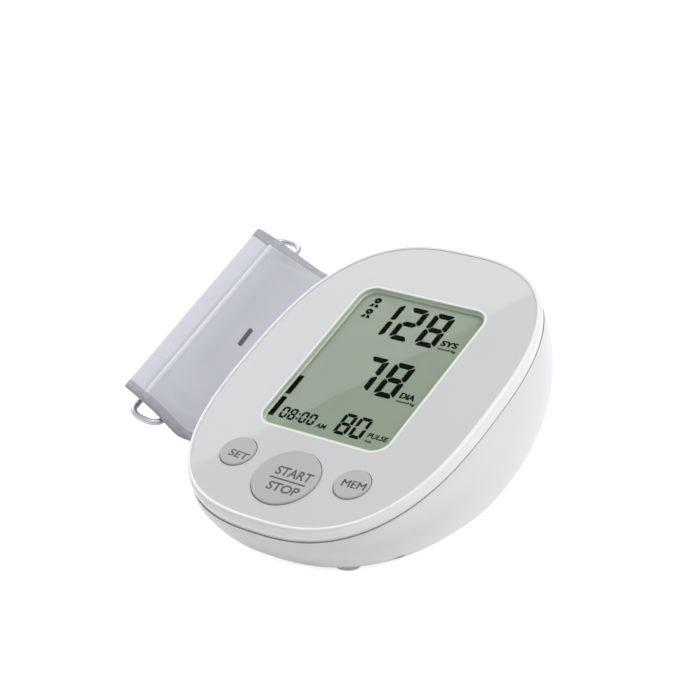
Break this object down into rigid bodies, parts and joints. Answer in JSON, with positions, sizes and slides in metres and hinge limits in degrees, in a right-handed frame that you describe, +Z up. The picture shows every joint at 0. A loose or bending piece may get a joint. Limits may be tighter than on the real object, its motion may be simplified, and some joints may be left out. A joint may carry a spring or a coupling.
{
  "type": "upper-arm blood pressure monitor with cuff",
  "caption": "Wedge-shaped desk blood pressure monitor with a sloping display face and round keys, beside its loosely rolled upper-arm cuff with a metal ring.",
  "frame": {"origin": "centre of the whole object's box, on the table surface", "axes": "+X to the monitor's right, +Y from the user's side of the monitor to its back, +Z up from the table"},
  "size_m": [0.2204, 0.2438, 0.0808],
  "materials": {
    "shell_plastic": "satin light gray, moulded",
    "plate_plastic": "glossy light gray",
    "border_plastic": "glossy white",
    "window_clear": "clear acrylic, polished",
    "lcd_glass": "greenish gray display with dark segments",
    "key_plastic": "satin gray",
    "inner_plastic": "moulded",
    "contact_rubber": "matt",
    "board_laminate": "green laminate",
    "screw_steel": "zinc plated",
    "contact_steel": "nickel plated",
    "cell_can": "plain film wrap",
    "foot_rubber": "matt",
    "socket_plastic": "moulded",
    "tube_rubber": "soft",
    "motor_steel": "drawn can",
    "cuff_cloth": "fine nylon weave, lavender gray",
    "binding_cloth": "woven tape, darker gray",
    "hook_cloth": "hook side of a hook-and-loop tab",
    "former_plastic": "thin sheet",
    "bladder_rubber": "thin sheet",
    "ring_steel": "polished",
    "port_plastic": "moulded"
  },
  "bodies": {
    "monitor": {"bottom_case": "shell_plastic", "top_case": "shell_plastic", "face_plate": "plate_plastic", "display_border": "border_plastic", "display_window": "window_clear", "lcd_glass": "lcd_glass", "lcd_holder": "inner_plastic", "lcd_contact_strips": "contact_rubber", "main_board": "board_laminate", "key_switches": "inner_plastic", "board_screws": "screw_steel", "board_chips": "inner_plastic", "buzzer": "inner_plastic", "battery_cells": "cell_can", "battery_contacts": "contact_steel", "battery_springs": "contact_steel", "rubber_feet": "foot_rubber", "case_screws": "screw_steel", "dc_jack": "inner_plastic", "air_socket": "socket_plastic", "air_manifold": "socket_plastic", "pressure_sensor": "inner_plastic", "air_tubes": "tube_rubber", "exhaust_valve": "inner_plastic", "pump_motor": "motor_steel", "pump_head": "socket_plastic", "pump_sleeves": "foot_rubber"},
    "button_start": {"button_start": "key_plastic"},
    "button_set": {"button_set": "key_plastic"},
    "button_mem": {"button_mem": "key_plastic"},
    "battery_door": {"battery_door": "shell_plastic"},
    "cuff": {"cuff_outer_cloth": "cuff_cloth", "cuff_inner_cloth": "cuff_cloth", "cuff_former": "former_plastic", "cuff_bladder": "bladder_rubber", "cuff_bindings": "binding_cloth", "cuff_hook_tab": "hook_cloth", "cuff_panel": "cuff_cloth", "cuff_ring_pocket": "cuff_cloth", "cuff_d_ring": "ring_steel", "cuff_air_port": "port_plastic"}
  },
  "joints": [
    {"name": "button_start_press", "type": "slide", "parent": "monitor", "child": "button_start", "axis": [0, 0.4446, -0.8957], "range_m": [0, 0.0008], "stiffness_N_per_m": 300, "springref_m": -0.001},
    {"name": "button_set_press", "type": "slide", "parent": "monitor", "child": "button_set", "axis": [0, 0.4446, -0.8957], "range_m": [0, 0.0008], "stiffness_N_per_m": 300, "springref_m": -0.001},
    {"name": "button_mem_press", "type": "slide", "parent": "monitor", "child": "button_mem", "axis": [0, 0.4446, -0.8957], "range_m": [0, 0.0008], "stiffness_N_per_m": 300, "springref_m": -0.001},
    {"name": "battery_door_hinge", "type": "hinge", "parent": "monitor", "child": "battery_door", "pos_m": [0.05681, -0.09062, 0.0018], "axis": [-1, 0, 0], "range_deg": [0, 75]},
    {"name": "cuff_slide", "type": "slide", "parent": "monitor", "child": "cuff", "axis": [-0.9455, -0.3256, 0], "range_m": [0, 0.1]}
  ]
}
